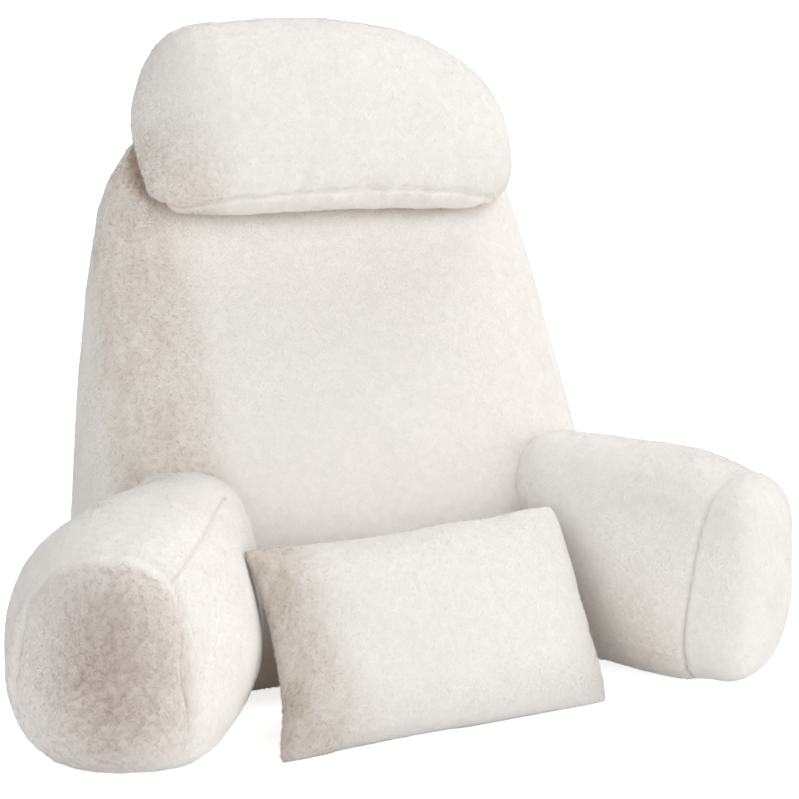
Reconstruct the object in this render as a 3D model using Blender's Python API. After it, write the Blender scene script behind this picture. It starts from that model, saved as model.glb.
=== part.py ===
"""Reading pillow with arms, as sewn and stuffed.

A thick backrest stands on the floor between two stuffed arms that splay outwards.  A half-moon
neck pillow lies on the top of its front, and a loose knife-edge lumbar pillow leans on its foot.
Metres, +Z up.  The floor is z = 0, the front faces -Y and +X is the right of a viewer in front.
"""

import math

import bmesh
import bpy
from mathutils import Matrix, Vector

PRESS_GAP = 0.0004  # kept between two pieces that press on each other
WELD = 0.00005  # joins the edge points of two panels
ORIGIN_SHIFT = Vector((0.0067, 0.0195, 0.0))  # puts the origin under the middle of the whole

# Colours of the plush
BODY_COLOUR = (0.80, 0.77, 0.72)
NECK_COLOUR = (0.82, 0.79, 0.75)
LUMBAR_COLOUR = (0.83, 0.80, 0.75)
PLUSH_ROUGHNESS = 0.95

# Backrest: one row for each level section from the floor to the crown of the top.
# half_width is across X; front and back are the Y of the middle of the two faces.
BACKREST_COLUMNS = ("height", "half_width", "front", "back")
BACKREST_SECTIONS = (
    (0.000, 0.272, -0.036, 0.212),
    (0.012, 0.288, -0.050, 0.228),
    (0.060, 0.300, -0.070, 0.240),
    (0.150, 0.296, -0.062, 0.243),
    (0.260, 0.284, -0.006, 0.241),
    (0.370, 0.268, 0.055, 0.237),
    (0.460, 0.252, 0.096, 0.231),
    (0.530, 0.229, 0.120, 0.222),
    (0.582, 0.188, 0.138, 0.210),
    (0.612, 0.134, 0.153, 0.197),
    (0.623, 0.066, 0.166, 0.185),
)
BACKREST_CROWN = 0.624
BACKREST_SQUARENESS = 3.4
BACKREST_POINTS = 44

# Arms: one row for each upright section, from inside the backrest to the crown of the end.
# along is the distance from the root; turned is how far the section has turned towards the
# splay of the arm; the others are shares of the arm's own root inset, half width, half
# height and inner squareness.
ARM_COLUMNS = ("along", "turned", "inset", "width", "height", "inner")
ARM_SECTIONS = (
    (-0.110, 0.00, 1.00, 0.680, 0.900, 0.95),
    (-0.050, 0.00, 1.00, 0.700, 0.960, 0.95),
    (0.000, 0.10, 1.00, 0.760, 0.990, 0.95),
    (0.040, 0.45, 0.65, 0.850, 1.000, 0.88),
    (0.080, 0.80, 0.28, 0.940, 1.000, 0.84),
    (0.120, 1.05, 0.05, 0.995, 0.998, 0.90),
    (0.155, 1.20, 0.00, 0.978, 0.975, 0.96),
    (0.184, 1.25, 0.00, 0.910, 0.915, 1.00),
    (0.197, 1.25, 0.00, 0.860, 0.870, 1.00),
    (0.203, 1.25, 0.00, 0.828, 0.840, 1.00),
    (0.209, 1.25, 0.00, 0.832, 0.844, 1.00),
    (0.225, 1.25, 0.00, 0.790, 0.800, 1.00),
    (0.240, 1.25, 0.00, 0.680, 0.690, 1.00),
    (0.250, 1.25, 0.00, 0.490, 0.500, 1.00),
    (0.255, 1.25, 0.00, 0.255, 0.260, 1.00),
)
ARM_SEAM = 0.203  # where the end panel is sewn on
ARM_CROWN = 0.257
ARM_GATHER_FROM = 0.100  # where the drawing in of the end begins
ARM_POINTS = 32
ARM_SINK = 0.004  # how far the stuffing is pressed flat against the floor
ARM_ROOT_Y = -0.030

# The two arms are not stuffed alike.  length and crown stretch the tube and the end beyond
# its seam, gather is how strongly the end is drawn in, sag is how much wider a section is low
# down than high up, outer and inner are the squareness of the two halves of a section.
ARM_COLUMNS_EACH = ("name", "side", "root_x", "root_inset", "splay", "length", "crown",
                    "half_width", "half_height", "outer", "inner", "gather", "sag")
ARMS = (
    ("arm_left", -1, 0.248, 0.029, 30.0, 1.00, 1.00, 0.116, 0.127, 2.15, 3.1, 1.25, 0.08),
    ("arm_right", 1, 0.252, 0.020, 27.0, 0.925, 1.08, 0.090, 0.125, 2.70, 2.8, 0.55, 0.00),
)

# Neck pillow: one row for each section across it, from one end to the other.
NECK_COLUMNS = ("across", "low", "high", "depth")
NECK_SECTIONS = (
    (-0.213, 0.075, 0.110, 0.030),
    (-0.209, 0.050, 0.146, 0.062),
    (-0.198, 0.022, 0.181, 0.092),
    (-0.176, 0.006, 0.203, 0.116),
    (-0.140, 0.000, 0.211, 0.132),
    (-0.075, 0.000, 0.213, 0.142),
    (0.000, 0.000, 0.212, 0.146),
    (0.075, 0.000, 0.203, 0.140),
    (0.130, 0.000, 0.182, 0.130),
    (0.170, 0.006, 0.156, 0.114),
    (0.195, 0.020, 0.130, 0.092),
    (0.208, 0.043, 0.108, 0.060),
    (0.213, 0.064, 0.090, 0.030),
)
NECK_FOOT = Vector((0.002, 0.105, 0.467))
NECK_LEAN = 33.0
NECK_ROLL = 1.2
NECK_POINTS = 30
NECK_SQUARENESS = 2.6

# Lumbar pillow
LUMBAR_WIDTH = 0.360
LUMBAR_HEIGHT = 0.218
LUMBAR_THICKNESS = 0.108
LUMBAR_SQUARENESS = 2.6
LUMBAR_FULLNESS = 0.55
LUMBAR_DRAW = 0.035
LUMBAR_LEAN = 27.0
LUMBAR_TURN = 3.0
LUMBAR_FOOT = Vector((0.006, -0.212, -0.005))
LUMBAR_CELLS = (22, 14)

COLLECTION = "reading_pillow_with_arms"


def rounded(angle, squareness):
    """Return the point of a rounded square of half size 1 that lies at an angle."""
    c = math.cos(angle)
    s = math.sin(angle)
    reach = (abs(c) ** squareness + abs(s) ** squareness) ** (-1.0 / squareness)
    return reach * c, reach * s


def turn(count):
    """Return evenly spaced angles of a full turn."""
    return [2.0 * math.pi * i / count for i in range(count)]


def smooth_rows(columns, rows, steps):
    """Return the rows with smooth rows between them, each as a dictionary of its columns."""
    last = len(rows) - 1
    result = []
    for i in range(last):
        near = (rows[max(i - 1, 0)], rows[i], rows[i + 1], rows[min(i + 2, last)])
        for step in range(steps):
            t = step / steps
            blended = [catmull(t, *values) for values in zip(*near)]
            result.append(dict(zip(columns, blended)))
    result.append(dict(zip(columns, rows[last])))
    return result


def catmull(t, before, start, end, after):
    """Return the value at t of a smooth curve from start to end."""
    slope_in = 0.5 * (end - before)
    slope_out = 0.5 * (after - start)
    rise = end - start
    return start + t * (slope_in + t * (3 * rise - 2 * slope_in - slope_out
                                        + t * (slope_in + slope_out - 2 * rise)))


def loft(name, rings, first_pole, last_pole):
    """Return a closed mesh through rings of points, with a pole point beyond each end."""
    shape = bmesh.new()
    loops = [[shape.verts.new(point) for point in ring] for ring in rings]
    for near, far in zip(loops, loops[1:]):
        for i in range(len(near)):
            shape.faces.new((near[i - 1], near[i], far[i], far[i - 1]))
    for loop, pole in ((loops[0], first_pole), (loops[-1], last_pole)):
        middle = shape.verts.new(pole)
        for i in range(len(loop)):
            shape.faces.new((loop[i - 1], loop[i], middle))
    return closed_mesh(name, shape)


def closed_mesh(name, shape):
    """Return the mesh of a closed shape, pressed flat where it would reach below the floor."""
    for vertex in shape.verts:
        vertex.co += ORIGIN_SHIFT
        vertex.co.z = max(vertex.co.z, 0.0)
    bmesh.ops.triangulate(shape, faces=shape.faces)
    bmesh.ops.recalc_face_normals(shape, faces=shape.faces)
    mesh = bpy.data.meshes.new(name)
    shape.to_mesh(mesh)
    shape.free()
    return mesh


def backrest_mesh():
    """Loft the backrest from its level sections."""
    rings = []
    for row in smooth_rows(BACKREST_COLUMNS, BACKREST_SECTIONS, 2):
        middle = 0.5 * (row["front"] + row["back"])
        half_depth = 0.5 * (row["back"] - row["front"])
        ring = []
        for angle in turn(BACKREST_POINTS):
            x, y = rounded(angle, BACKREST_SQUARENESS)
            ring.append(Vector((x * row["half_width"], middle + y * half_depth, row["height"])))
        rings.append(ring)
    first = sum(rings[0], Vector()) / BACKREST_POINTS
    last = sum(rings[-1], Vector()) / BACKREST_POINTS
    last.z = BACKREST_CROWN
    return loft("backrest", rings, first, last)


def arm_mesh(arm):
    """Loft one arm from its upright sections along its splayed axis."""
    side = arm["side"]
    root = Vector((side * arm["root_x"], ARM_ROOT_Y, arm["half_height"] - ARM_SINK))
    rings = []
    for row in smooth_rows(ARM_COLUMNS, ARM_SECTIONS, 2):
        run = heading(side, arm["splay"] if row["along"] > 0.0 else 0.0)
        facing = heading(side, arm["splay"] * row["turned"])
        outward = Vector((-side * facing.y, side * facing.x, 0.0))
        inset = Vector((side * row["inset"] * arm["root_inset"], 0.0, 0.0))
        middle = root + run * stretched(arm, row["along"]) - inset
        gather = arm["gather"] if row["along"] > ARM_GATHER_FROM else 1.0
        half_width = arm["half_width"] * row["width"] ** gather
        half_height = arm["half_height"] * row["height"] ** gather
        ring = []
        for angle in turn(ARM_POINTS):
            inner = arm["inner"] * row["inner"]
            across, up = rounded(angle, arm["outer"] if math.cos(angle) > 0.0 else inner)
            across *= half_width * (1.0 - arm["sag"] * up)
            ring.append(middle + outward * across + Vector((0.0, 0.0, up * half_height)))
        rings.append(ring)
    first = sum(rings[0], Vector()) / ARM_POINTS
    last = root + heading(side, arm["splay"]) * stretched(arm, ARM_CROWN)
    return loft(arm["name"], rings, first, last)


def stretched(arm, along):
    """Return the distance from an arm's root of a place that the table of sections gives."""
    beyond = max(along - ARM_SEAM, 0.0)
    return (along - beyond) * arm["length"] + beyond * arm["crown"]


def heading(side, splay):
    """Return the level direction of an arm that splays by an angle from straight ahead."""
    angle = math.radians(splay)
    return Vector((side * math.sin(angle), -math.cos(angle), 0.0))


def neck_mesh():
    """Loft the neck pillow from its sections across."""
    lean = (Matrix.Rotation(math.radians(NECK_ROLL), 4, "Y")
            @ Matrix.Rotation(-math.radians(NECK_LEAN), 4, "X"))
    rings = []
    for row in smooth_rows(NECK_COLUMNS, NECK_SECTIONS, 2):
        ring = []
        for angle in turn(NECK_POINTS):
            y, z = rounded(angle, NECK_SQUARENESS)
            local = Vector((row["across"],
                            0.5 * row["depth"] * (y - 1.0),
                            0.5 * (row["low"] + row["high"] + z * (row["high"] - row["low"]))))
            ring.append(NECK_FOOT + lean @ local)
        rings.append(ring)
    first = sum(rings[0], Vector()) / NECK_POINTS
    last = sum(rings[-1], Vector()) / NECK_POINTS
    return loft("neck_pillow", rings, first, last)


def lumbar_mesh():
    """Make the lumbar pillow from two crowned panels that meet at a knife edge."""
    shape = bmesh.new()
    columns, rows = LUMBAR_CELLS
    for face_side in (-1.0, 1.0):
        panel = bmesh.ops.create_grid(shape, x_segments=columns, y_segments=rows, size=1.0)
        for vertex in panel["verts"]:
            u, v = vertex.co.x, vertex.co.y
            swell = (1.0 - abs(u) ** LUMBAR_SQUARENESS) * (1.0 - abs(v) ** LUMBAR_SQUARENESS)
            top_draw = LUMBAR_DRAW * (1.0 - u * u) * max(v, 0.0)
            x = 0.5 * LUMBAR_WIDTH * u * (1.0 - LUMBAR_DRAW * (1.0 - v * v))
            y = 0.5 * LUMBAR_THICKNESS * face_side * swell ** LUMBAR_FULLNESS
            z = 0.5 * LUMBAR_HEIGHT * (1.0 + v * (1.0 - top_draw))
            vertex.co = Vector((x, y, z))
    bmesh.ops.remove_doubles(shape, verts=shape.verts, dist=WELD)
    place = (Matrix.Translation(LUMBAR_FOOT)
             @ Matrix.Rotation(math.radians(LUMBAR_TURN), 4, "Z")
             @ Matrix.Rotation(-math.radians(LUMBAR_LEAN), 4, "X"))
    bmesh.ops.transform(shape, matrix=place, verts=shape.verts)
    return closed_mesh("lumbar_pillow", shape)


def plush(name, colour):
    """Return the material of one piece's short plush."""
    material = bpy.data.materials.new(name)
    material.use_nodes = True
    shader = material.node_tree.nodes["Principled BSDF"]
    shader.inputs["Base Color"].default_value = (*colour, 1.0)
    shader.inputs["Roughness"].default_value = PLUSH_ROUGHNESS
    return material


def add_piece(mesh, material, collection):
    """Add a mesh to the scene as a smooth named object."""
    mesh.materials.append(material)
    mesh.shade_smooth()
    piece = bpy.data.objects.new(mesh.name, mesh)
    collection.objects.link(piece)
    return piece


def press_against(piece, cutter):
    """Shape a piece by the neighbour that it is pressed against or sewn to."""
    cut = piece.modifiers.new("pressed", "BOOLEAN")
    cut.operation = "DIFFERENCE"
    cut.solver = "EXACT"
    cut.object = cutter


def swollen_copy(piece, collection):
    """Return a cutter: a copy of a piece that stands proud of it by the press gap."""
    mesh = piece.data.copy()
    offsets = [vertex.normal * PRESS_GAP for vertex in mesh.vertices]
    for vertex, offset in zip(mesh.vertices, offsets):
        vertex.co += offset
    cutter = bpy.data.objects.new(piece.name + "_cutter", mesh)
    cutter.hide_render = True
    cutter.display_type = "WIRE"
    collection.objects.link(cutter)
    return cutter


def main():
    """Build the reading pillow."""
    for old in list(bpy.data.objects):
        bpy.data.objects.remove(old, do_unlink=True)
    parts = bpy.data.collections.new(COLLECTION)
    cutters = bpy.data.collections.new("cutters")
    bpy.context.scene.collection.children.link(parts)
    bpy.context.scene.collection.children.link(cutters)
    backrest = add_piece(backrest_mesh(), plush("backrest_plush", BODY_COLOUR), parts)
    back_cutter = swollen_copy(backrest, cutters)
    neck = add_piece(neck_mesh(), plush("neck_plush", NECK_COLOUR), parts)
    lumbar = add_piece(lumbar_mesh(), plush("lumbar_plush", LUMBAR_COLOUR), parts)
    press_against(neck, back_cutter)
    press_against(lumbar, back_cutter)
    for row in ARMS:
        arm = dict(zip(ARM_COLUMNS_EACH, row))
        piece = add_piece(arm_mesh(arm), plush(arm["name"] + "_plush", BODY_COLOUR), parts)
        press_against(lumbar, swollen_copy(piece, cutters))
        press_against(piece, back_cutter)


main()
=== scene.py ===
"""Looks of the reading pillow with arms: stuffed plush cushions with sewn seams and pile.

The backrest, the arms and the neck pillow start from their CAD solids, and the lumbar pillow
from two crowned panels.  Each is blown up as cloth, creased at its seams, roughened into tufts
and covered with a pile of short blades.  Metres and degrees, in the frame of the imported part.
"""

import math

import bpy
import numpy as np
from mathutils import Matrix, Vector
from mathutils.bvhtree import BVHTree
from mathutils.kdtree import KDTree


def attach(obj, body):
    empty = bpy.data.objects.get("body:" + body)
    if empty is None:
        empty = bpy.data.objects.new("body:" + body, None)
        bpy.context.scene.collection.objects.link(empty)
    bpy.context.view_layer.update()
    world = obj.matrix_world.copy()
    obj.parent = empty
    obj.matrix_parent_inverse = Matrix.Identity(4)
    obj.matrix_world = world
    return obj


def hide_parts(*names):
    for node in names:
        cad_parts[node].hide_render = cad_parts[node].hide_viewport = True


# Nothing lies lower than this.
FLOOR_GAP = 0.0004

# The material slot that each cushion belongs to, in the order in which they are made, and its
# colour; here the slot only picks the colour.
SLOTS = {"backrest": "body_plush", "arm_left": "body_plush", "arm_right": "body_plush",
         "neck_pillow": "neck_plush", "lumbar_pillow": "lumbar_plush"}
COLOURS = {"body_plush": (0.93, 0.903, 0.868), "neck_plush": (0.935, 0.910, 0.877),
           "lumbar_plush": (0.905, 0.88, 0.848)}

# ---- Arms.  root is the middle of the section at the backrest.  The end seam lies at seam
# along the arm, ahead by round at its two sides, and ahead by slant at its top and behind by it
# below.  The lengthwise seam lies at the angle top_seam at the root and turns by top_turn for
# each metre.  Angles round an arm start at its inner side, and 90 is its top.
ARM_COLUMNS = ("side", "root", "splay", "half_width", "half_height",
               "seam", "round", "slant", "top_seam", "top_turn", "top_depth")
ARMS = {
    "arm_left": (-1, (-0.2413, -0.0105, 0.123), 30.0, 0.116, 0.127,
                 0.198, 0.030, 0.0, 51.6, -26.0, 0.0024),
    "arm_right": (1, (0.2587, -0.0105, 0.121), 27.0, 0.090, 0.125,
                  0.1863, 0.001, 0.0125, 23.0, 0.0, 0.0008),
}

# Where the stuffing swells an arm: the angle and how far around it, the place along the arm
# and how far beside it, and the rise.
SWELLS = {
    "arm_left": ((-10.0, 30.0, 0.085, 0.060, 0.0105),
                 (135.0, 35.0, 0.200, 0.080, -0.0030),
                 (-125.0, 40.0, 0.220, 0.080, 0.0040)),
    "arm_right": ((38.0, 38.0, -0.015, 0.045, 0.0130),
                  (85.0, 45.0, 0.050, 0.050, 0.0035)),
}

# ---- Neck pillow: its foot, how far it leans, rolls and turns, its lower front seam ahead of
# and above the foot, and how much that seam curves back at the ends.  It reaches only so far
# above and below the foot, and a step up or ahead from it counts by a share, as it runs along
# a sloping edge.
NECK_FOOT = np.array((0.0087, 0.1245, 0.467))
NECK_POSE = (33.0, 1.2, 0.0)
NECK_SEAM = (-0.0925, 0.0015)
NECK_SEAM_CURVE = 6.1
NECK_SEAM_REACH = 0.05
NECK_SEAM_SLOPE = 0.7

# ---- Backrest: how far behind its front and before its back the gusset is sewn on, and how
# many heights its front and back are read at.
GUSSET_SET_BACK = 0.042
LEVELS = 40

# ---- Lumbar pillow: its foot, how far it leans, rolls and turns, and its size.
LUMBAR_FOOT = np.array((0.0127, -0.1925, -0.005))
LUMBAR_POSE = (27.0, 0.0, 3.0)
LUMBAR_WIDTH = 0.366
LUMBAR_HEIGHT = 0.222
LUMBAR_THICKNESS = 0.104
LUMBAR_CELLS = (104, 62)
# The higher the first power, the squarer it swells; the lower the second, the fuller its edges.
LUMBAR_SQUARENESS = 2.3
LUMBAR_FULLNESS = 0.53
# How far the middle of each edge is drawn in, as a share of half its size, and how much more
# the top and the foot are drawn in on the left.
LUMBAR_LEFT_DRAW = 0.105
LUMBAR_RIGHT_DRAW = 0.010
LUMBAR_TOP_DRAW = 0.055
LUMBAR_FOOT_DRAW = 0.036
LUMBAR_DRAW_BIAS = 0.5
# By what share its foot is wider, how far its top sways to the left, and how blunt its corners
# are.
LUMBAR_FLARE = 0.038
LUMBAR_SWAY = 0.0065
LUMBAR_CORNER = 0.035
LUMBAR_CORNER_POWER = 7
# The faint crease across its front: its height, its slope and how narrow it is.
LUMBAR_CREASE = (0.062, 0.10, 3.0)
# Where its back swells by more than this share, it stands out of its CAD solid by no more
# than this.
LUMBAR_BACK_SWELL = 0.2
LUMBAR_BACK_SLACK = 0.001

# ---- Seams.  How deep each presses in and how strong the gathers beside it are.  An arm's end
# seam eases off by a share, round an angle and within a turn of it.
END_STITCH = (0.0032, 0.0010)
END_EASE = (0.7, 85.0, 40.0)
TOP_GATHER = 0.0003
GUSSET_STITCH = (0.0011, 0.0005)
NECK_STITCH = (0.0034, 0.0042)
LUMBAR_STITCH = (0.0006, 0.0)
# A distance at which no seam shows.
FAR = 1.0
# How wide the line of stitches is, the groove, the dip round it and the gathers.
STITCHES = 0.0018
GROOVE = 0.0035
DIP = 0.012
GATHERED = 0.022
# How deep the dip is, as a share of the groove, and how far one seam's gathers are shifted
# from the next one's.
DIP_SHARE = 0.35
GATHER_SHIFT = 0.31

# ---- Cloth.  voxel is how wide its faces are and inset how far inside its solid it lies before
# it is blown up, cap is the furthest that a point may then move, and last is how far inside
# the solid it ends up.
CLOTH_COLUMNS = ("voxel", "inset", "cap", "last")
CLOTHS = {
    "backrest": (0.0090, 0.0045, 0.008, 0.0010),
    "arm_left": (0.0070, 0.0040, 0.007, 0.0010),
    "arm_right": (0.0070, 0.0040, 0.007, 0.0010),
    "neck_pillow": (0.0065, 0.0040, 0.007, 0.0010),
}
# The cap of the lumbar pillow, the pressure and the frames that blow each cushion up, and how
# full it is.
LUMBAR_CAP = 0.003
PRESSURE = 4.0
FRAMES = 20

# How a cushion is drawn back to its solid: how often, by how many of the nearest aims, and the
# distance below which an aim weighs little more.  Then how often it is smoothed.
SETTLE_ROUNDS = 3
NEAREST_AIMS = 4
AIM_SOFTNESS = 0.003
SMOOTH_ROUNDS = 5

# How a cushion meets the backrest: rounded off within the first distance of it, and pushed
# into it within the second, by the depth.  Then how often it is smoothed for that, and the
# share of the first distance within which it is smoothed fully.
MEETINGS = {
    "arm_left": (0.030, 0.016, 0.030),
    "arm_right": (0.030, 0.016, 0.030),
    "neck_pillow": (0.015, 0.006, 0.008),
}
ROUND_OFF_ROUNDS = 20
ROUND_OFF_FULL = 0.4

# ---- Noise: the points along its lattice, the step for its slope as a share of its lumps, and
# for each use how wide the lumps are, and the seed.
LATTICE_SIDE = 48
SLOPE_STEP = 0.15
LUMPS = (0.012, 1)
FINE_LUMPS = (0.006, 2)
WAVES = (0.05, 3)
SWIRLS = (0.0055, 4)
DRIFTS = (0.035, 5)
GATHERS = (0.013, 6)
PATCHES = (0.03, 21)
STREAKS = (0.008, 22)
# How high the tufts and the waves are, and the shares of a tuft's lumps and fine lumps.
TUFT_HEIGHT = 0.0005
WAVE_HEIGHT = 0.0015
LUMP_SHARE = 0.6
FINE_SHARE = 0.4

# ---- Where the pile is ruffled and where shade is painted on sides turned from the light: how
# strongly, and how far the patches vary that; then the strength on each arm and on the neck
# pillow, at least and added lower down.
PATCHY = 0.80
PATCHES_ADD = 0.30
LEFT_ARM_RUFFLE = 1.2
RIGHT_ARM_RUFFLE = 0.6
NECK_RUFFLE = (0.2, 1.1)
# Each pair is where a ramp starts and where it is full, in X or Z, or else in the right arm's
# angle or way along it, or in the way behind the backrest's front.
RIGHT_ARM_LOW = (0.17, 0.02)
RIGHT_ARM_INNER = (80.0, 30.0)
RIGHT_ARM_BEFORE_END = (0.20, 0.15)
BACKREST_FRONT = (0.09, 0.05)
BACKREST_LEFT = (-0.132, -0.197)
BACKREST_SIDE = (-0.280, -0.250)
NECK_LEFT = (-0.11, -0.18)
NECK_LOW = (0.62, 0.53)
LUMBAR_LEFT = (-0.05, -0.15)
# Higher up, the lumbar pillow's ramp starts this much further to the left.
LUMBAR_HIGH = (0.05, 0.12)
LUMBAR_HIGH_SHIFT = 0.035

# The brushed patch on the left arm's end panel, where shade is painted: its middle, its size,
# and its ramp along the arm.
NAP_MIDDLE = np.array((-0.343, -0.240, 0.132))
NAP_SIZE = np.array((0.072, 0.072, 0.115))
NAP_ALONG = (0.203, 0.222)

# The deepest part of the gap between the left arm, the backrest and the lumbar pillow.
CREVICE_MIDDLE = np.array((-0.126, -0.030, 0.020))
CREVICE_SIZE = np.array((0.035, 0.060, 0.060))

# ---- Painted shade: how much darker the cushions are there, and how much of that red, green
# and blue take.
RUFFLE_PAINTED_SHADE = {"backrest": 0.18, "arm_left": 0.06, "arm_right": 0.14, "neck_pillow": 0.16,
                "lumbar_pillow": 0.26}
PAINTED_SHADE_TINT = (0.76, 1.0, 1.20)
RIGHT_ARM_TINT = (0.40, 1.0, 1.50)
NAP_PAINTED_SHADE = 0.39
NAP_STREAKS = 0.15
PATCH_SHADE_TINT = (0.84, 1.0, 1.04)
CREVICE_SHADE = 0.50
CREVICE_TINT = (0.75, 1.0, 1.15)
LUMBAR_FOOT_SHADE = 0.10
LUMBAR_FOOT_RAMP = (0.085, 0.010)
SEAM_TINT = (0.92, 1.0, 1.08)
# How fast the painted shade in a seam's groove grows with the square of its depth.
ARM_SEAM_SHADE = 32000.0
SEAM_SHADE = 14000.0
# The streaks in the painted shade: how wide they are as a share of their height, and how strong.
BACKREST_STREAKS = (0.2, 0.45)
OTHER_STREAKS = (0.8, 0.30)
# Where two cushions lie on each other: the other one, the shade and how far it reaches.
CONTACTS = {
    "backrest": ("neck_pillow", 0.42, 0.0110),
    "neck_pillow": ("backrest", 0.34, 0.0070),
}
# Their tint, and how far off the other one is looked for.
CONTACT_TINT = (0.80, 1.0, 1.12)
CONTACT_LOOK = 0.02

# ---- Pile: one row for each coat, with the Y between which it lies, the blades for each
# square metre, and their length and width.
BACKREST_MIDDLE = 0.215
PILE_COLUMNS = ("name", "cushion", "from_y", "to_y", "density", "length", "width", "seed")
PILES = (
    ("backrest_front_pile", "backrest", -1.0, BACKREST_MIDDLE, 330000, 0.0048, 0.0016, 11),
    ("backrest_back_pile", "backrest", BACKREST_MIDDLE, 1.0, 210000, 0.0048, 0.0020, 12),
    ("arm_left_pile", "arm_left", -1.0, 1.0, 400000, 0.0048, 0.0015, 13),
    ("arm_right_pile", "arm_right", -1.0, 1.0, 400000, 0.0048, 0.0015, 14),
    ("neck_pillow_pile", "neck_pillow", -1.0, 1.0, 400000, 0.0048, 0.0015, 15),
    ("lumbar_pillow_pile", "lumbar_pillow", -1.0, 1.0, 400000, 0.0046, 0.0015, 16),
)
# A face has no pile where it lies under LOWEST_FACE, where it lies under LOW_FACE and faces
# down, or where it is BURIED this deep in another cushion, looked for within BURIED_LOOK.
LOWEST_FACE = 0.002
LOW_FACE = 0.02
FACING_DOWN = -0.9
BURIED = 0.001
BURIED_LOOK = 0.03

# How the blades lie: combed down, swirled, drifting and spread; how steeply they stand, from
# and to; and their twist.  A swirl and a twist are what they are and what ruffling adds.
COMB = np.array((0.0, 0.0, -0.8))
SWIRL_PULL = (0.20, 0.8)
DRIFT_PULL = 0.30
LAY_SPREAD = 0.35
STAND = (0.20, 0.40)
RUFFLED_STAND = 0.22
TWIST = (0.08, 0.15)
# How their lengths and widths vary, how much shorter they are where they are ruffled, and how
# deep their roots sit.
LENGTHS = (0.6, 1.15)
WIDTHS = (0.7, 1.2)
RUFFLED_SHORTER = 0.15
ROOT_DEPTH = 0.0006
# By the depth of a seam, how bare its stitches are and how much shorter the blades beside it
# are; then the most that they are shortened by, and how far beside it.
BARE = 260.0
SHORTER = 180.0
MOST_SHORTER = 0.5
SHORTER_WIDTH = 0.004
# How bright their roots and tips are, the roots darker as painted shade deep in the pile, and how
# much more painted shade a ruffled root takes.
ROOT_TONES = (0.955, 0.98)
TIP_TONES = (0.98, 1.0)
RUFFLED_ROOT_SHADE = 0.05

# ---- Camera: what it looks at, how far off, from which azimuth and height, and how wide.
CAMERA_TARGET = Vector((0.0452, 0.0195, 0.296))
CAMERA_DISTANCE = 2.03
CAMERA_AZIMUTH = -22.8
CAMERA_HEIGHT = 12.8
CAMERA_FOV = 24.0

# ---- Light: each sun's name, azimuth, height, strength and colour; how wide a sun is; the
# surround as it lights and as the camera sees it; the floor's glow, what the camera sees on
# top of it, and how far the floor reaches.
SUNS = (
    ("right_sun", 90.0, 60.0, 0.35, (1.0, 0.99, 0.97)),
    ("front_sun", 0.0, 22.0, 0.20, (1.0, 0.99, 0.975)),
    ("left_sun", -90.0, 30.0, 0.18, (0.98, 0.985, 1.0)),
    ("low_left_sun", -45.0, 5.0, 0.23, (0.99, 0.99, 1.0)),
    ("low_right_sun", 55.0, 5.0, 0.46, (1.0, 0.99, 0.97)),
    ("back_sun", 135.0, 60.0, 0.27, (1.0, 1.0, 1.0)),
)
SUN_WIDTH = 45.0
SURROUND = 0.13
SURROUND_SEEN = 1.05
FLOOR_GLOW = 0.05
FLOOR_GLOW_SEEN = 0.70
FLOOR_REACH = 30.0

# ---- Texture of the cloth: the scale and detail of its mottles and strands, the range of the
# mottles and how dark they are, and how deep the strands look.
MOTTLES = (110.0, 4.0)
MOTTLE_RANGE = (0.35, 0.65)
MOTTLE_DARK = 0.95
STRANDS = (420.0, 3.0)
STRAND_DEPTH = 0.0015
# The sockets of a colour mix node.
MIX_A, MIX_B, MIX_RESULT = 6, 7, 2

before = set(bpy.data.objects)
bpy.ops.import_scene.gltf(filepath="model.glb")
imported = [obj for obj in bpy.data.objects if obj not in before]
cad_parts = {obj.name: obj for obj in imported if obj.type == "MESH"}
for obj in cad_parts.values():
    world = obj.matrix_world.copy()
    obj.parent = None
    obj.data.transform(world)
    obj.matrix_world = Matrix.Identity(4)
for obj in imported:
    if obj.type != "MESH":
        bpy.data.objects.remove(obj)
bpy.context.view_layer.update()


# ---------------------------------------------------------------- arrays and noise

def positions(mesh):
    """Return the vertices of a mesh as an array."""
    co = np.empty(len(mesh.vertices) * 3, np.float32)
    mesh.vertices.foreach_get("co", co)
    return co.reshape(-1, 3).astype(float)


def place(mesh, points):
    """Move the vertices of a mesh."""
    mesh.vertices.foreach_set("co", points.astype(np.float32).ravel())
    mesh.update()


def normals(mesh):
    """Return the vertex normals of a mesh as an array."""
    found = np.empty(len(mesh.vertices) * 3, np.float32)
    mesh.vertex_normals.foreach_get("vector", found)
    return found.reshape(-1, 3).astype(float)


def edge_ends(mesh):
    """Return the first and the second vertex of each edge of a mesh."""
    ends = np.empty(len(mesh.edges) * 2, np.int32)
    mesh.edges.foreach_get("vertices", ends)
    return ends.reshape(-1, 2).T


def evened(mesh, vectors, rounds):
    """Return vectors at the vertices of a mesh, averaged with their neighbours."""
    a, b = edge_ends(mesh)
    count = len(mesh.vertices)
    degree = np.bincount(a, minlength=count) + np.bincount(b, minlength=count)
    columns = []
    for values in vectors.T:
        for _ in range(rounds):
            total = np.bincount(a, values[b], count) + np.bincount(b, values[a], count)
            values = 0.5 * values + 0.5 * total / np.maximum(degree, 1)
        columns.append(values)
    return np.stack(columns, 1)


def solid(node):
    """Return the mesh of a cushion's CAD solid."""
    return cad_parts[node].data


def skin_of(mesh):
    """Return the surface of a mesh, to look up its nearest points."""
    return BVHTree.FromPolygons(positions(mesh).tolist(),
                                [tuple(face.vertices) for face in mesh.polygons])


def gaps_to(mesh, points, reach):
    """Return how far points are from a mesh, or reach where that is further."""
    skin = skin_of(mesh)
    return np.array([skin.find_nearest(point, reach)[3] or reach for point in points])


def height_over(point, spot, facing):
    """Return how far a point lies outside a surface that has this nearest spot and normal."""
    return (Vector(point) - spot).dot(facing)


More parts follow.
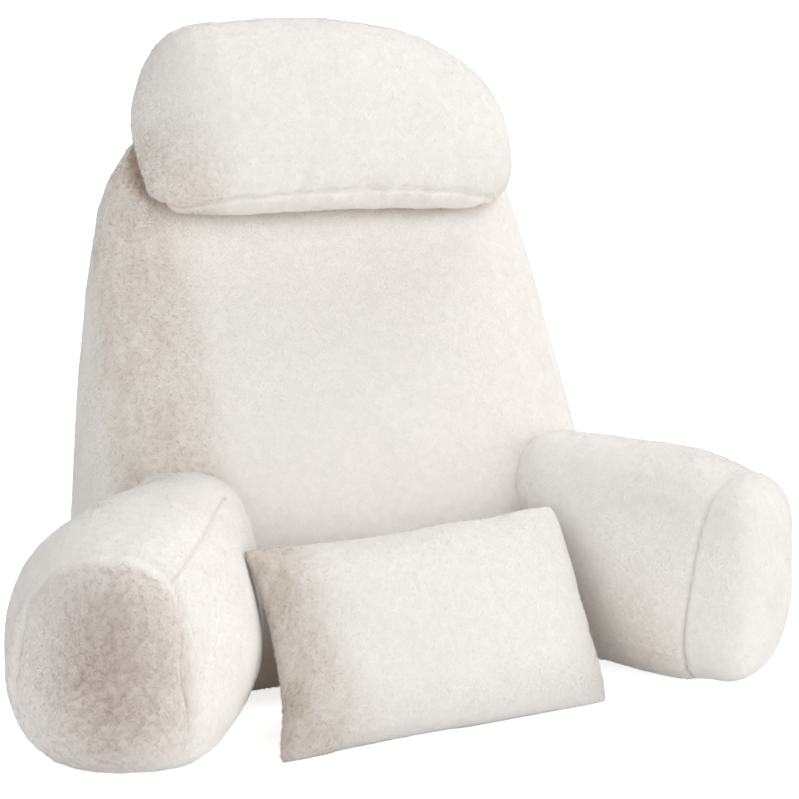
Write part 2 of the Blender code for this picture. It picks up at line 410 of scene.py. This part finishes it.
def lattice_noise(points, scale, seed):
    """Return smooth noise between -1 and 1 whose lumps are about scale wide."""
    shape = (LATTICE_SIDE, LATTICE_SIDE, LATTICE_SIDE)
    lattice = np.random.default_rng(seed).uniform(-1.0, 1.0, shape)
    cell = points / scale
    low = np.floor(cell).astype(int)
    part = cell - low
    part = part * part * (3.0 - 2.0 * part)
    total = np.zeros(len(points))
    for corner in range(8):
        step = np.array([corner & 1, corner >> 1 & 1, corner >> 2 & 1])
        weight = np.where(step, part, 1.0 - part).prod(1)
        i, j, k = ((low + step) % LATTICE_SIDE).T
        total += weight * lattice[i, j, k]
    return total


def noise_slope(points, scale, seed):
    """Return the slope of the noise at points."""
    reach = SLOPE_STEP * scale
    here = lattice_noise(points, scale, seed)
    slopes = []
    for axis in np.eye(3):
        slopes.append((lattice_noise(points + reach * axis, scale, seed) - here) / reach)
    return np.stack(slopes, 1) * scale


def unit(vectors):
    """Return vectors of length 1."""
    return vectors / np.maximum(np.linalg.norm(vectors, axis=1, keepdims=True), 1e-9)


def bump_at(distance, width):
    """Return 1 where a distance is zero, falling smoothly to 0 at a few widths."""
    return np.exp(-((distance / width) ** 2))


def ramp(values, low, high):
    """Return 0 below low, 1 above high and a smooth rise between (low may be the higher)."""
    part = np.clip((values - low) / (high - low), 0.0, 1.0)
    return part * part * (3.0 - 2.0 * part)


# ---------------------------------------------------------------- seams

def turn_of(lean, roll, turn):
    """Return the rotation of a pillow that leans, rolls and turns."""
    return np.array(Matrix.Rotation(math.radians(turn), 3, "Z")
                    @ Matrix.Rotation(math.radians(roll), 3, "Y")
                    @ Matrix.Rotation(-math.radians(lean), 3, "X"))


def arm_place(name, points):
    """Return an arm's sizes, how far points lie along it, and their angle from its inner side."""
    arm = dict(zip(ARM_COLUMNS, ARMS[name]))
    splay = math.radians(arm["splay"])
    side = arm["side"]
    ahead = np.array([side * math.sin(splay), -math.cos(splay), 0.0])
    inward = np.array([-side * math.cos(splay), -math.sin(splay), 0.0])
    offset = points - np.array(arm["root"])
    angle = np.degrees(np.arctan2(offset[:, 2] / arm["half_height"],
                                  offset @ inward / arm["half_width"]))
    return arm, offset @ ahead, angle


def levels(height, pick):
    """Return the lowest or highest Y of the CAD backrest at each of some heights."""
    points = positions(solid("backrest"))
    edges = np.linspace(0.0, points[:, 2].max(), LEVELS)
    level = np.digitize(points[:, 2], edges)
    known = [i for i in range(1, LEVELS) if (level == i).any()]
    values = [pick(points[level == i, 1]) for i in known]
    middles = [0.5 * (edges[i - 1] + edges[i]) for i in known]
    return np.interp(height, middles, values)


def arm_seams(name, points):
    """Return the end seam and the lengthwise seam of an arm."""
    arm, along, angle = arm_place(name, points)
    bend = np.radians(angle)
    radius = 0.5 * (arm["half_width"] + arm["half_height"])
    curve = np.where(np.cos(bend) > 0.0, np.cos(bend) ** 4, np.cos(bend) ** 2)
    end = arm["seam"] + arm["round"] * curve + arm["slant"] * np.sin(bend)
    arc = np.radians(angle - arm["top_seam"] - arm["top_turn"] * along) * radius
    top = np.where((along < end) & (along > 0.0), arc, FAR)
    deepest, gather = END_STITCH
    share, middle, turn = END_EASE
    depth = deepest * (1.0 - share * bump_at(angle - middle, turn))
    return [(along - end, np.abs(bend) * radius, depth, gather),
            (top, along, arm["top_depth"], TOP_GATHER)]


def backrest_seams(points):
    """Return the two seams of the backrest's gusset."""
    y, z = points[:, 1], points[:, 2]
    front, back = levels(z, np.min), levels(z, np.max)
    inset = np.minimum(GUSSET_SET_BACK, 0.5 * (back - front))
    run = z + np.abs(points[:, 0])
    return [(y - front - inset, run, *GUSSET_STITCH), (back - inset - y, run, *GUSSET_STITCH)]


def neck_seams(points):
    """Return the seam along the lower front of the neck pillow."""
    across, depth, height = ((points - NECK_FOOT) @ turn_of(*NECK_POSE)).T
    ahead = NECK_SEAM[0] + NECK_SEAM_CURVE * np.abs(across) ** 3 - depth
    slope = NECK_SEAM_SLOPE * (height - NECK_SEAM[1] + ahead)
    return [(np.where(np.abs(height) < NECK_SEAM_REACH, slope, FAR), across, *NECK_STITCH)]


def lumbar_seams(points):
    """Return the faint crease across the front of the lumbar pillow."""
    across, depth, height = ((points - LUMBAR_FOOT) @ turn_of(*LUMBAR_POSE)).T
    middle, slope, narrow = LUMBAR_CREASE
    crease = narrow * (height - middle - slope * across)
    return [(np.where(depth < 0.0, crease, FAR), across, *LUMBAR_STITCH)]


def seams(name, points):
    """Return each seam of a cushion: the distance from it, the way along it, depth and gathers."""
    if name in ARMS:
        return arm_seams(name, points)
    if name == "backrest":
        return backrest_seams(points)
    if name == "neck_pillow":
        return neck_seams(points)
    return lumbar_seams(points)


# ---------------------------------------------------------------- painted shades

def nap_and_shade(points):
    """Return the patch on the left arm's end panel where the pile is brushed and shade is painted.
    """
    _, along, _ = arm_place("arm_left", points)
    spread = (points - NAP_MIDDLE) / NAP_SIZE
    return ramp(along, *NAP_ALONG) * bump_at(np.linalg.norm(spread, axis=1), 1.0)


def ruffled_and_shaded(name, points):
    """Return where the pile of a cushion is brushed up and shade is painted on its sides turned
    from the light, from 0 to 1.
    """
    patchy = PATCHY + PATCHES_ADD * lattice_noise(points, *PATCHES)
    x, z = points[:, 0], points[:, 2]
    if name == "arm_left":
        return np.clip(LEFT_ARM_RUFFLE * nap_and_shade(points) * patchy, 0.0, 1.0)
    if name == "arm_right":
        _, along, angle = arm_place(name, points)
        inner = ramp(np.abs(angle), *RIGHT_ARM_INNER) * ramp(along, *RIGHT_ARM_BEFORE_END)
        return RIGHT_ARM_RUFFLE * ramp(z, *RIGHT_ARM_LOW) * inner * patchy
    if name == "backrest":
        front = ramp(points[:, 1] - levels(z, np.min), *BACKREST_FRONT)
        return front * ramp(x, *BACKREST_LEFT) * ramp(x, *BACKREST_SIDE) * patchy
    if name == "neck_pillow":
        least, added = NECK_RUFFLE
        return ramp(x, *NECK_LEFT) * (least + added * ramp(z, *NECK_LOW)) * patchy
    start, full = LUMBAR_LEFT
    return ramp(x, start - LUMBAR_HIGH_SHIFT * ramp(z, *LUMBAR_HIGH), full) * patchy


def tinted_shade(strength, tint):
    """Return how much darker each point is in red, green and blue."""
    return strength[:, None] * np.array(tint)


def shade(name, points):
    """Return the colour that the pile and cloth of a cushion are multiplied by: painted shade
    where the pile is ruffled, in the brushed patch, where cushions meet, in the crevice, at the
    lumbar pillow's foot and in the seam grooves.
    """
    stretch, spread = BACKREST_STREAKS if name == "backrest" else OTHER_STREAKS
    streaks = lattice_noise(points * np.array((1.0, 1.0, stretch)), *STREAKS)
    # Painted shade on the sides turned from the light, where the pile is ruffled.
    dark = RUFFLE_PAINTED_SHADE[name] * ruffled_and_shaded(name, points) * (1.0 + spread * streaks)
    tone = tinted_shade(dark, RIGHT_ARM_TINT if name == "arm_right" else PAINTED_SHADE_TINT)
    if name == "arm_left":
        # Painted shade in the brushed patch on the left arm's end panel.
        brushed = NAP_PAINTED_SHADE * (nap_and_shade(points) * (1.0 + NAP_STREAKS * streaks))
        tone += tinted_shade(brushed, PATCH_SHADE_TINT)
    if name in CONTACTS:
        other, strength, reach = CONTACTS[name]
        near = gaps_to(solid(other), points, CONTACT_LOOK)
        tone += tinted_shade(strength * bump_at(near, reach), CONTACT_TINT)
    if name == "backrest":
        deep = np.linalg.norm((points - CREVICE_MIDDLE) / CREVICE_SIZE, axis=1)
        tone += tinted_shade(CREVICE_SHADE * bump_at(deep, 1.0), CREVICE_TINT)
    if name == "lumbar_pillow":
        tone += LUMBAR_FOOT_SHADE * ramp(points[:, 2], *LUMBAR_FOOT_RAMP)[:, None]
    # Painted shade in the seam grooves, darker the deeper a seam presses in.
    groove_shade = ARM_SEAM_SHADE if name in ARMS else SEAM_SHADE
    for distance, _, depth, _ in seams(name, points):
        tone += tinted_shade(groove_shade * depth ** 2 * bump_at(distance, STITCHES), SEAM_TINT)
    return 1.0 - tone


# ---------------------------------------------------------------- cushions

def apply_modifiers(piece):
    """Turn what the modifiers of a piece make into its own mesh."""
    graph = bpy.context.evaluated_depsgraph_get()
    made = bpy.data.meshes.new_from_object(piece.evaluated_get(graph))
    old = piece.data
    piece.modifiers.clear()
    piece.data = made
    bpy.data.meshes.remove(old)


def cushion_from(node, name, voxel):
    """Return a new evenly meshed cushion just inside a CAD solid."""
    cushion = bpy.data.objects.new(name, solid(node).copy())
    cushion.data.materials.clear()
    bpy.context.scene.collection.objects.link(cushion)
    modifier = cushion.modifiers.new("even", "REMESH")
    modifier.mode = "VOXEL"
    modifier.voxel_size = voxel
    ease = cushion.modifiers.new("ease", "SMOOTH")
    ease.factor = 0.5
    ease.iterations = 6
    apply_modifiers(cushion)
    return cushion


def aims(node, inset):
    """Return points spread over a CAD solid, a little inside it: its vertices and mid edges."""
    mesh = solid(node)
    corners = positions(mesh) - inset * normals(mesh)
    a, b = edge_ends(mesh)
    return np.concatenate([corners, 0.5 * (corners[a] + corners[b])])


def settle(cushion, node, inset):
    """Draw a cushion back to just inside its CAD solid, out to its thin edges too."""
    mesh = cushion.data
    goals = aims(node, inset)
    tree = KDTree(len(goals))
    for number, goal in enumerate(goals):
        tree.insert(goal, number)
    tree.balance()
    for _ in range(SETTLE_ROUNDS):
        points = positions(mesh)
        skin = skin_of(mesh)
        lacks = goals - np.array([skin.find_nearest(goal)[0] for goal in goals])
        move = np.empty_like(points)
        for number, point in enumerate(points):
            near = tree.find_n(point, NEAREST_AIMS)
            weight = np.array([1.0 / (AIM_SOFTNESS + gap) ** 2 for _, _, gap in near])
            move[number] = weight @ lacks[[i for _, i, _ in near]] / weight.sum()
        place(mesh, points + evened(mesh, move, 1))


def blow_up(cushion, cap):
    before = positions(cushion.data)
    cloth = cushion.modifiers.new("cloth", "CLOTH")
    cloth.settings.use_pressure = True
    cloth.settings.uniform_pressure_force = PRESSURE
    cloth.settings.effector_weights.gravity = 0.0
    cloth.point_cache.frame_start = 1
    cloth.point_cache.frame_end = FRAMES
    scene = bpy.context.scene
    for step in range(1, FRAMES + 1):
        scene.frame_set(step)
    apply_modifiers(cushion)
    scene.frame_set(1)
    moved = positions(cushion.data) - before
    reach = np.linalg.norm(moved, axis=1, keepdims=True)
    moved *= cap * np.tanh(reach / cap) / np.maximum(reach, 1e-9)
    place(cushion.data, before + moved)


def refine(cushion):
    """Subdivide a cushion once, and smooth it."""
    modifier = cushion.modifiers.new("smooth", "SUBSURF")
    modifier.levels = 1
    modifier.render_levels = 1
    apply_modifiers(cushion)
    place(cushion.data, evened(cushion.data, positions(cushion.data), SMOOTH_ROUNDS))


def stuffed(node, name):
    """Return a cushion that is blown up from its CAD solid and fits it again."""
    cloth = dict(zip(CLOTH_COLUMNS, CLOTHS[node]))
    cushion = cushion_from(node, name, cloth["voxel"])
    settle(cushion, node, cloth["inset"])
    blow_up(cushion, cloth["cap"])
    settle(cushion, node, cloth["last"])
    refine(cushion)
    return cushion


def lumbar_front():
    """Return the lumbar pillow's upright front panel, row by row, and its swell at each point."""
    columns, rows = LUMBAR_CELLS
    v, u = np.meshgrid(np.linspace(-1, 1, rows + 1), np.linspace(-1, 1, columns + 1),
                       indexing="ij")
    swell = (1.0 - np.abs(u) ** LUMBAR_SQUARENESS) * (1.0 - np.abs(v) ** LUMBAR_SQUARENESS)
    blunt = 1.0 - LUMBAR_CORNER * np.abs(u * v) ** LUMBAR_CORNER_POWER
    u, v = u * blunt, v * blunt
    side_draw = np.where(u < 0.0, LUMBAR_LEFT_DRAW, LUMBAR_RIGHT_DRAW) * (1.0 - v * v)
    across = 0.5 * LUMBAR_WIDTH * u * (1.0 - side_draw + 0.5 * LUMBAR_FLARE * (1.0 - v))
    across -= 0.5 * LUMBAR_SWAY * (1.0 + v)
    draw = LUMBAR_TOP_DRAW * np.maximum(v, 0.0) + LUMBAR_FOOT_DRAW * np.maximum(-v, 0.0)
    drawn = 1.0 - draw * (1.0 - u * u) * (1.0 - LUMBAR_DRAW_BIAS * u)
    height = 0.5 * LUMBAR_HEIGHT * (1.0 + v * drawn)
    depth = 0.5 * LUMBAR_THICKNESS * swell ** LUMBAR_FULLNESS
    return np.stack([across, -depth, height], -1).reshape(-1, 3), swell.ravel()


def lumbar_from(name):
    """Return a new finely meshed lumbar pillow: two crowned panels that meet at a thin edge."""
    front, swell = lumbar_front()
    rim = swell < 1e-9
    number = np.where(rim, np.arange(len(front)), len(front) + np.cumsum(~rim) - 1)
    back = front[~rim] * np.array((1.0, -1.0, 1.0))
    points = np.concatenate([front, back]) @ turn_of(*LUMBAR_POSE).T + LUMBAR_FOOT
    columns, rows = LUMBAR_CELLS
    lattice = np.arange(len(front)).reshape(rows + 1, columns + 1)
    faces = np.stack([lattice[:-1, :-1], lattice[:-1, 1:], lattice[1:, 1:], lattice[1:, :-1]],
                     -1).reshape(-1, 4)
    mesh = bpy.data.meshes.new(name)
    inner = np.concatenate([np.zeros(len(front), bool), swell[~rim] > LUMBAR_BACK_SWELL])
    mesh.from_pydata(keep_clear(points, inner).tolist(), [],
                     faces.tolist() + number[faces][:, ::-1].tolist())
    cushion = bpy.data.objects.new(name, mesh)
    bpy.context.scene.collection.objects.link(cushion)
    blow_up(cushion, LUMBAR_CAP)
    return cushion


def keep_clear(points, chosen):
    """Return the points with the chosen ones drawn back onto the CAD lumbar pillow."""
    skin = skin_of(solid("lumbar_pillow"))
    for number in np.flatnonzero(chosen):
        spot, facing, _, _ = skin.find_nearest(points[number])
        if height_over(points[number], spot, facing) > LUMBAR_BACK_SLACK:
            points[number] = spot
    return points


def plump(cushion, node):
    """Swell an arm where it is stuffed fuller."""
    points = positions(cushion.data)
    _, along, angle = arm_place(node, points)
    rise = np.zeros(len(points))
    for middle, turn, spot, reach, height in SWELLS[node]:
        around = (angle - middle + 180.0) % 360.0 - 180.0
        rise += height * bump_at(around, turn) * bump_at(along - spot, reach)
    place(cushion.data, points + rise[:, None] * normals(cushion.data))


def round_off(cushion, other, reach):
    """Smooth the parts of a cushion that lie near another one."""
    points = positions(cushion.data)
    gaps = gaps_to(other.data, points, reach)
    even = evened(cushion.data, points, ROUND_OFF_ROUNDS)
    near = ramp(gaps, reach, ROUND_OFF_FULL * reach)
    place(cushion.data, points + near[:, None] * (even - points))


def tuck(cushion, other, reach, depth):
    """Push the parts of a cushion that all but touch another one into it."""
    skin = skin_of(other.data)
    points = positions(cushion.data)
    for number, point in enumerate(points):
        spot, facing, _, gap = skin.find_nearest(point, reach)
        if spot is not None and height_over(point, spot, facing) > 0.0:
            points[number] -= depth * (1.0 - gap / reach) ** 2 * np.array(facing)
    place(cushion.data, points)


def sew(cushion, node):
    """Press a cushion in along its seams and draw it into gathers beside them."""
    points = positions(cushion.data)
    inward = np.zeros(len(points))
    for number, (distance, run, depth, gather) in enumerate(seams(node, points)):
        row = np.stack([run, np.full(len(run), GATHER_SHIFT * number), np.zeros(len(run))], 1)
        folds = lattice_noise(row, *GATHERS)
        inward += depth * (bump_at(distance, GROOVE) + DIP_SHARE * bump_at(distance, DIP))
        inward += gather * folds * bump_at(distance, GATHERED)
    place(cushion.data, points - inward[:, None] * normals(cushion.data))


def roughen(cushion):
    """Raise a cushion's surface into small tufts and wide waves."""
    points = positions(cushion.data)
    lumps = LUMP_SHARE * lattice_noise(points, *LUMPS)
    lumps += FINE_SHARE * lattice_noise(points, *FINE_LUMPS)
    rise = TUFT_HEIGHT * lumps + WAVE_HEIGHT * lattice_noise(points, *WAVES)
    points += rise[:, None] * normals(cushion.data)
    points[:, 2] = np.maximum(points[:, 2], FLOOR_GAP)
    place(cushion.data, points)


def make_cushion(node, made):
    """Return a finished cushion that takes the place of its CAD solid."""
    name = node + "_cushion"
    cushion = lumbar_from(name) if node == "lumbar_pillow" else stuffed(node, name)
    meeting = MEETINGS.get(node)
    if meeting:
        round_off(cushion, made["backrest"], meeting[0])
    if node in ARMS:
        plump(cushion, node)
    sew(cushion, node)
    roughen(cushion)
    if meeting:
        tuck(cushion, made["backrest"], *meeting[1:])
    cushion.data.shade_smooth()
    paint(cushion.data, shade(node, positions(cushion.data)))
    cushion.data.materials.append(cloth_material(node + "_cloth", COLOURS[SLOTS[node]]))
    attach(cushion, "root")
    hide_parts(node)
    return cushion


# ---------------------------------------------------------------- pile

def above_floor(middle, outward):
    """Return which faces don't rest on the floor."""
    level = (outward[:, 2] > FACING_DOWN) | (middle[:, 2] > LOW_FACE)
    return (middle[:, 2] > LOWEST_FACE) & level


def clear_of(points, skins):
    """Return which points are not inside any of the skins."""
    clear = np.ones(len(points), bool)
    for number, point in enumerate(points):
        for skin in skins:
            spot, facing, _, _ = skin.find_nearest(point, BURIED_LOOK)
            if spot is not None and height_over(point, spot, facing) < -BURIED:
                clear[number] = False
    return clear


def neighbours(node, made):
    """Return the skins that a cushion may be sunk into; the loose lumbar pillow has none."""
    if node == "lumbar_pillow":
        return []
    return [skin_of(made[other].data) for other in made if other not in (node, "lumbar_pillow")]


def scattered(mesh, density, seed, chosen):
    """Return points and normals spread evenly over the triangles of a mesh."""
    mesh.calc_loop_triangles()
    corners = np.empty(len(mesh.loop_triangles) * 3, np.int32)
    mesh.loop_triangles.foreach_get("vertices", corners)
    corners = corners.reshape(-1, 3)
    points = positions(mesh)
    outward = normals(mesh)
    middle = points[corners].mean(1)
    corners = corners[chosen(middle, outward[corners].mean(1))]
    a, b, c = (points[corners[:, i]] for i in range(3))
    area = 0.5 * np.linalg.norm(np.cross(b - a, c - a), axis=1)
    dice = np.random.default_rng(seed)
    wanted = density * area
    count = np.floor(wanted).astype(int) + (dice.random(len(area)) < wanted % 1.0)
    face = np.repeat(np.arange(len(area)), count)
    u, v = dice.random((2, len(face)))
    over = u + v > 1.0
    u[over], v[over] = 1.0 - u[over], 1.0 - v[over]
    w = 1.0 - u - v
    spots = w[:, None] * a[face] + u[:, None] * b[face] + v[:, None] * c[face]
    n = (w[:, None] * outward[corners[face, 0]] + u[:, None] * outward[corners[face, 1]]
         + v[:, None] * outward[corners[face, 2]])
    return spots, unit(n)


def combed(spots, outward, wild, dice):
    """Return which way each blade points, and the way across it."""
    pull = (SWIRL_PULL[0] + SWIRL_PULL[1] * wild) * noise_slope(spots, *SWIRLS)
    pull = pull + DRIFT_PULL * noise_slope(spots, *DRIFTS)
    lay = pull + COMB + LAY_SPREAD * dice.normal(size=spots.shape)
    lay -= (lay * outward).sum(1, keepdims=True) * outward
    lay = unit(lay)
    stand = dice.uniform(*STAND, wild.shape) + RUFFLED_STAND * wild
    twist = (TWIST[0] + TWIST[1] * wild) * dice.normal(size=spots.shape)
    return unit(stand * outward + lay), unit(np.cross(outward, lay) + twist)


def pile_on(coat, node, spots, outward):
    """Return a coat of blades, combed down, and brushed up where the cushion is ruffled."""
    dice = np.random.default_rng(coat["seed"] + 100)
    keep = np.ones(len(spots), bool)
    for distance, _, depth, _ in seams(node, spots):
        keep &= dice.random(len(spots)) > BARE * depth * bump_at(distance, STITCHES)
    spots, outward = spots[keep], outward[keep]
    wild = ruffled_and_shaded(node, spots)[:, None]
    way, across = combed(spots, outward, wild, dice)
    reach = coat["length"] * dice.uniform(*LENGTHS, wild.shape) * (1.0 - RUFFLED_SHORTER * wild)
    for distance, _, depth, _ in seams(node, spots):
        shorter = np.minimum(SHORTER * depth, MOST_SHORTER) * bump_at(distance, SHORTER_WIDTH)
        reach *= 1.0 - shorter[:, None]
    half = 0.5 * coat["width"] * dice.uniform(*WIDTHS, wild.shape)
    root = spots - ROOT_DEPTH * outward
    tip = root + way * reach
    blades = np.stack([root - half * across, root + half * across, tip], 1).reshape(-1, 3)
    blades[:, 2] = np.maximum(blades[:, 2], FLOOR_GAP)
    tone = shade(node, spots)
    # Roots darker than tips as painted shade deep in the pile, more where it is ruffled.
    low = dice.uniform(*ROOT_TONES, wild.shape) - RUFFLED_ROOT_SHADE * wild
    high = dice.uniform(*TIP_TONES, wild.shape)
    tones = np.stack([low * tone, low * tone, high * tone], 1).reshape(-1, 3)
    return blade_mesh(coat["name"], blades, tones)


def blade_mesh(name, points, tones):
    """Return an object of separate triangles, three points each."""
    count = len(points) // 3
    mesh = bpy.data.meshes.new(name)
    mesh.vertices.add(3 * count)
    mesh.vertices.foreach_set("co", points.astype(np.float32).ravel())
    mesh.loops.add(3 * count)
    mesh.loops.foreach_set("vertex_index", np.arange(3 * count, dtype=np.int32))
    mesh.polygons.add(count)
    mesh.polygons.foreach_set("loop_start", 3 * np.arange(count, dtype=np.int32))
    mesh.update(calc_edges=True)
    paint(mesh, tones)
    lay_out(mesh, count)
    piece = bpy.data.objects.new(name, mesh)
    bpy.context.scene.collection.objects.link(piece)
    return piece


def paint(mesh, tones):
    """Store a colour for each vertex, that its material is multiplied by."""
    tint = mesh.color_attributes.new("tint", "FLOAT_COLOR", "POINT")
    colour = np.concatenate([tones, np.ones((len(tones), 1))], 1)
    tint.data.foreach_set("color", colour.astype(np.float32).ravel())


def lay_out(mesh, count):
    """Give each blade its own corner of a UV grid, two blades to a cell."""
    side = math.ceil(math.sqrt(count / 2))
    number = np.arange(count)
    cell = number // 2
    col, row = cell % side, cell // side
    first = np.array([(0.08, 0.08), (0.80, 0.08), (0.08, 0.80)])
    second = np.array([(0.92, 0.92), (0.20, 0.92), (0.92, 0.20)])
    shape = np.where((number % 2 == 0)[:, None, None], first, second)
    uv = (shape + np.stack([col, row], 1)[:, None, :]) / side
    layer = mesh.uv_layers.new(name="OFBake")
    layer.uv.foreach_set("vector", uv.astype(np.float32).ravel())


def make_pile(coat, made):
    """Cover a cushion, or the part of it that a coat is for, with pile."""
    node = coat["cushion"]
    skins = neighbours(node, made)

    def chosen(middle, outward):
        here = (middle[:, 1] >= coat["from_y"]) & (middle[:, 1] < coat["to_y"])
        return above_floor(middle, outward) & here & clear_of(middle, skins)

    spots, outward = scattered(made[node].data, coat["density"], coat["seed"], chosen)
    pile = pile_on(coat, node, spots, outward)
    pile.data.materials.append(pile_material(coat["name"] + "_fibre", COLOURS[SLOTS[node]]))
    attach(pile, "root")


# ---------------------------------------------------------------- materials

def shader_of(material):
    """Return the Principled shader of a material, with its nodes switched on."""
    material.use_nodes = True
    return material.node_tree.nodes["Principled BSDF"]


def tinted(material, colour):
    """Multiply a colour (a socket or three numbers) by the painted tint of the mesh."""
    nodes, links = material.node_tree.nodes, material.node_tree.links
    tint = nodes.new("ShaderNodeVertexColor")
    tint.layer_name = "tint"
    mix = nodes.new("ShaderNodeMix")
    mix.data_type = "RGBA"
    mix.blend_type = "MULTIPLY"
    mix.inputs[0].default_value = 1.0
    links.new(tint.outputs["Color"], mix.inputs[MIX_A])
    if isinstance(colour, tuple):
        mix.inputs[MIX_B].default_value = (*colour, 1.0)
    else:
        links.new(colour, mix.inputs[MIX_B])
    links.new(mix.outputs[MIX_RESULT], shader_of(material).inputs["Base Color"])


def noise_node(material, where, scale, detail):
    """Return a noise texture of a material, laid out by the object's own coordinates."""
    noise = material.node_tree.nodes.new("ShaderNodeTexNoise")
    noise.inputs["Scale"].default_value = scale
    noise.inputs["Detail"].default_value = detail
    material.node_tree.links.new(where.outputs["Object"], noise.inputs["Vector"])
    return noise


def cloth_material(name, colour):
    """Return the backing and short pile of a cushion: mottled, soft and matt."""
    material = bpy.data.materials.new(name)
    shader = shader_of(material)
    nodes, links = material.node_tree.nodes, material.node_tree.links
    shader.inputs["Roughness"].default_value = 0.9
    shader.inputs["Specular IOR Level"].default_value = 0.2
    shader.inputs["Sheen Weight"].default_value = 0.25
    shader.inputs["Sheen Roughness"].default_value = 0.5
    where = nodes.new("ShaderNodeTexCoord")
    mottle = noise_node(material, where, *MOTTLES)
    shades = nodes.new("ShaderNodeValToRGB")
    dark, light = shades.color_ramp.elements
    dark.position, light.position = MOTTLE_RANGE
    dark.color = (*[c * MOTTLE_DARK for c in colour], 1.0)
    light.color = (*colour, 1.0)
    links.new(mottle.outputs["Fac"], shades.inputs["Fac"])
    tinted(material, shades.outputs["Color"])
    strands = noise_node(material, where, *STRANDS)
    bump = nodes.new("ShaderNodeBump")
    bump.inputs["Strength"].default_value = 0.5
    bump.inputs["Distance"].default_value = STRAND_DEPTH
    links.new(strands.outputs["Fac"], bump.inputs["Height"])
    links.new(bump.outputs["Normal"], shader.inputs["Normal"])
    return material


def pile_material(name, colour):
    """Return the material of the blades: pale tips over roots darkened with painted shade."""
    material = bpy.data.materials.new(name)
    shader = shader_of(material)
    shader.inputs["Roughness"].default_value = 0.85
    shader.inputs["Specular IOR Level"].default_value = 0.2
    shader.inputs["Sheen Weight"].default_value = 0.2
    tinted(material, colour)
    return material


# ---------------------------------------------------------------- stage

def direction(azimuth, height):
    """Return the way towards an azimuth and height; azimuth 0 is the front, 90 the right."""
    turn, rise = math.radians(azimuth), math.radians(height)
    return Vector((math.sin(turn) * math.cos(rise), -math.cos(turn) * math.cos(rise),
                   math.sin(rise)))


def make_sun(name, azimuth, height, strength, colour):
    """Add a sun as wide as a studio lamp, which shines from an azimuth and height."""
    lamp = bpy.data.lights.new(name, "SUN")
    lamp.angle = math.radians(SUN_WIDTH)
    lamp.energy = math.pi * strength
    lamp.color = colour
    holder = bpy.data.objects.new(name, lamp)
    holder.rotation_euler = direction(azimuth, height).to_track_quat("Z", "Y").to_euler()
    bpy.context.scene.collection.objects.link(holder)


def make_floor():
    """Add a pale floor that glows more for the camera."""
    mesh = bpy.data.meshes.new("floor")
    r = FLOOR_REACH
    mesh.from_pydata([(-r, -r, 0), (r, -r, 0), (r, r, 0), (-r, r, 0)], [], [(0, 1, 2, 3)])
    floor = bpy.data.objects.new("floor", mesh)
    bpy.context.scene.collection.objects.link(floor)
    pale = bpy.data.materials.new("pale_floor")
    shader = shader_of(pale)
    shader.inputs["Base Color"].default_value = (0.92, 0.92, 0.92, 1.0)
    shader.inputs["Roughness"].default_value = 1.0
    shader.inputs["Specular IOR Level"].default_value = 0.0
    shader.inputs["Emission Color"].default_value = (1.0, 1.0, 1.0, 1.0)
    nodes, links = pale.node_tree.nodes, pale.node_tree.links
    seen = nodes.new("ShaderNodeLightPath")
    glow = nodes.new("ShaderNodeMath")
    glow.operation = "MULTIPLY_ADD"
    glow.inputs[1].default_value = FLOOR_GLOW_SEEN
    glow.inputs[2].default_value = FLOOR_GLOW
    links.new(seen.outputs["Is Camera Ray"], glow.inputs[0])
    links.new(glow.outputs[0], shader.inputs["Emission Strength"])
    mesh.materials.append(pale)


def make_surround():
    """Light everything evenly, behind a background that the camera sees as white."""
    world = bpy.data.worlds.new("surround")
    bpy.context.scene.world = world
    world.use_nodes = True
    nodes, links = world.node_tree.nodes, world.node_tree.links
    seen = nodes["Background"]
    seen.inputs["Color"].default_value = (1.0, 1.0, 1.0, 1.0)
    seen.inputs["Strength"].default_value = SURROUND_SEEN
    lit = nodes.new("ShaderNodeBackground")
    lit.inputs["Color"].default_value = (0.97, 0.98, 1.0, 1.0)
    lit.inputs["Strength"].default_value = SURROUND
    path = nodes.new("ShaderNodeLightPath")
    mix = nodes.new("ShaderNodeMixShader")
    links.new(path.outputs["Is Camera Ray"], mix.inputs["Fac"])
    links.new(lit.outputs["Background"], mix.inputs[1])
    links.new(seen.outputs["Background"], mix.inputs[2])
    links.new(mix.outputs["Shader"], nodes["World Output"].inputs["Surface"])


def make_camera():
    """Add the camera, and show plain colours."""
    scene = bpy.context.scene
    camera = bpy.data.cameras.new("camera")
    camera.angle = math.radians(CAMERA_FOV)
    holder = bpy.data.objects.new("camera", camera)
    back = direction(CAMERA_AZIMUTH, CAMERA_HEIGHT)
    holder.location = CAMERA_TARGET + CAMERA_DISTANCE * back
    holder.rotation_euler = back.to_track_quat("Z", "Y").to_euler()
    scene.collection.objects.link(holder)
    scene.camera = holder
    scene.view_settings.view_transform = "Standard"
    scene.view_settings.look = "None"


# ---------------------------------------------------------------- build

def main():
    """Build the cushions, their pile and the stage."""
    made = {}
    for node in SLOTS:
        made[node] = make_cushion(node, made)
    for row in PILES:
        make_pile(dict(zip(PILE_COLUMNS, row)), made)
    make_floor()
    make_surround()
    for sun in SUNS:
        make_sun(*sun)
    make_camera()


main()
